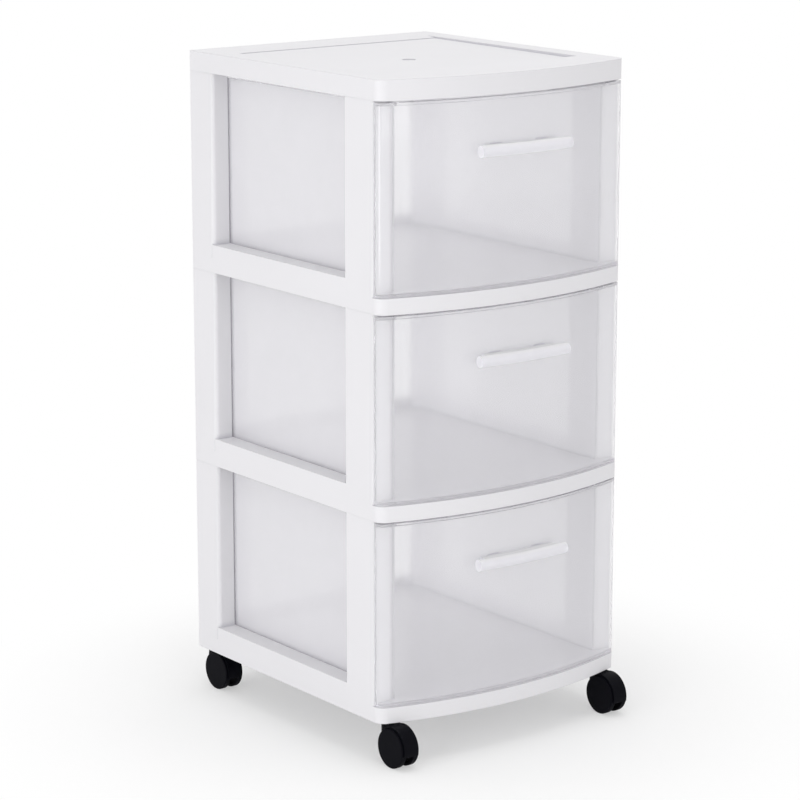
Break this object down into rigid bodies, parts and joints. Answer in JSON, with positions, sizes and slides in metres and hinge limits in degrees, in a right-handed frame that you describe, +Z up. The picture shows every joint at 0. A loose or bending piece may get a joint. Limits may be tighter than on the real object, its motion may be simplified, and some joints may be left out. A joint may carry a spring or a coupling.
{
  "type": "plastic drawer tower",
  "caption": "Rolling plastic drawer tower: a stacked white frame with open sides, clear pull-out drawers with bar handles, and hooded twin-wheel casters.",
  "frame": {"origin": "on the floor, under the middle of the whole object's box, where the wheels stand", "axes": "+Z up; +X to the right when facing the drawers; the drawers open towards -Y"},
  "size_m": [0.305, 0.3628, 0.676],
  "materials": {
    "white_frame": "moulded white polypropylene, satin",
    "clear_drawer": "moulded clear polypropylene, slightly hazy",
    "clear_handle": "moulded clear plastic, glossy",
    "black_hood": "moulded black nylon, satin",
    "black_wheel": "moulded black nylon, satin",
    "steel": "zinc-plated steel"
  },
  "bodies": {
    "cabinet": {"top_cover": "white_frame", "tier_frame_upper": "white_frame", "tier_frame_middle": "white_frame", "tier_frame_lower": "white_frame", "stem_front_left": "steel", "stem_front_right": "steel", "stem_back_left": "steel", "stem_back_right": "steel", "grip_rings": "steel"},
    "upper_drawer": {"drawer_upper": "clear_drawer", "handle_upper": "clear_handle"},
    "middle_drawer": {"drawer_middle": "clear_drawer", "handle_middle": "clear_handle"},
    "lower_drawer": {"drawer_lower": "clear_drawer", "handle_lower": "clear_handle"},
    "front_left_caster": {"hood_front_left": "black_hood", "axle_front_left": "steel"},
    "front_left_outer_wheel": {"wheel_front_left_outer": "black_wheel"},
    "front_left_inner_wheel": {"wheel_front_left_inner": "black_wheel"},
    "front_right_caster": {"hood_front_right": "black_hood", "axle_front_right": "steel"},
    "front_right_outer_wheel": {"wheel_front_right_outer": "black_wheel"},
    "front_right_inner_wheel": {"wheel_front_right_inner": "black_wheel"},
    "back_left_caster": {"hood_back_left": "black_hood", "axle_back_left": "steel"},
    "back_left_outer_wheel": {"wheel_back_left_outer": "black_wheel"},
    "back_left_inner_wheel": {"wheel_back_left_inner": "black_wheel"},
    "back_right_caster": {"hood_back_right": "black_hood", "axle_back_right": "steel"},
    "back_right_outer_wheel": {"wheel_back_right_outer": "black_wheel"},
    "back_right_inner_wheel": {"wheel_back_right_inner": "black_wheel"}
  },
  "joints": [
    {"name": "upper_drawer_slide", "type": "slide", "parent": "cabinet", "child": "upper_drawer", "axis": [0, -1, 0], "range_m": [0, 0.25]},
    {"name": "middle_drawer_slide", "type": "slide", "parent": "cabinet", "child": "middle_drawer", "axis": [0, -1, 0], "range_m": [0, 0.25]},
    {"name": "lower_drawer_slide", "type": "slide", "parent": "cabinet", "child": "lower_drawer", "axis": [0, -1, 0], "range_m": [0, 0.25]},
    {"name": "front_left_swivel", "type": "hinge", "parent": "cabinet", "child": "front_left_caster", "pos_m": [-0.1355, -0.1326, 0.044], "axis": [0, 0, 1], "continuous": true},
    {"name": "front_left_outer_spin", "type": "hinge", "parent": "front_left_caster", "child": "front_left_outer_wheel", "pos_m": [-0.1355, -0.1486, 0.02], "axis": [1, 0, 0], "continuous": true},
    {"name": "front_left_inner_spin", "type": "hinge", "parent": "front_left_caster", "child": "front_left_inner_wheel", "pos_m": [-0.1355, -0.1486, 0.02], "axis": [1, 0, 0], "continuous": true},
    {"name": "front_right_swivel", "type": "hinge", "parent": "cabinet", "child": "front_right_caster", "pos_m": [0.1355, -0.1326, 0.044], "axis": [0, 0, 1], "continuous": true},
    {"name": "front_right_outer_spin", "type": "hinge", "parent": "front_right_caster", "child": "front_right_outer_wheel", "pos_m": [0.1355, -0.1486, 0.02], "axis": [1, 0, 0], "continuous": true},
    {"name": "front_right_inner_spin", "type": "hinge", "parent": "front_right_caster", "child": "front_right_inner_wheel", "pos_m": [0.1355, -0.1486, 0.02], "axis": [1, 0, 0], "continuous": true},
    {"name": "back_left_swivel", "type": "hinge", "parent": "cabinet", "child": "back_left_caster", "pos_m": [-0.1355, 0.1734, 0.044], "axis": [0, 0, 1], "continuous": true},
    {"name": "back_left_outer_spin", "type": "hinge", "parent": "back_left_caster", "child": "back_left_outer_wheel", "pos_m": [-0.1355, 0.1574, 0.02], "axis": [1, 0, 0], "continuous": true},
    {"name": "back_left_inner_spin", "type": "hinge", "parent": "back_left_caster", "child": "back_left_inner_wheel", "pos_m": [-0.1355, 0.1574, 0.02], "axis": [1, 0, 0], "continuous": true},
    {"name": "back_right_swivel", "type": "hinge", "parent": "cabinet", "child": "back_right_caster", "pos_m": [0.1355, 0.1734, 0.044], "axis": [0, 0, 1], "continuous": true},
    {"name": "back_right_outer_spin", "type": "hinge", "parent": "back_right_caster", "child": "back_right_outer_wheel", "pos_m": [0.1355, 0.1574, 0.02], "axis": [1, 0, 0], "continuous": true},
    {"name": "back_right_inner_spin", "type": "hinge", "parent": "back_right_caster", "child": "back_right_inner_wheel", "pos_m": [0.1355, 0.1574, 0.02], "axis": [1, 0, 0], "continuous": true}
  ]
}
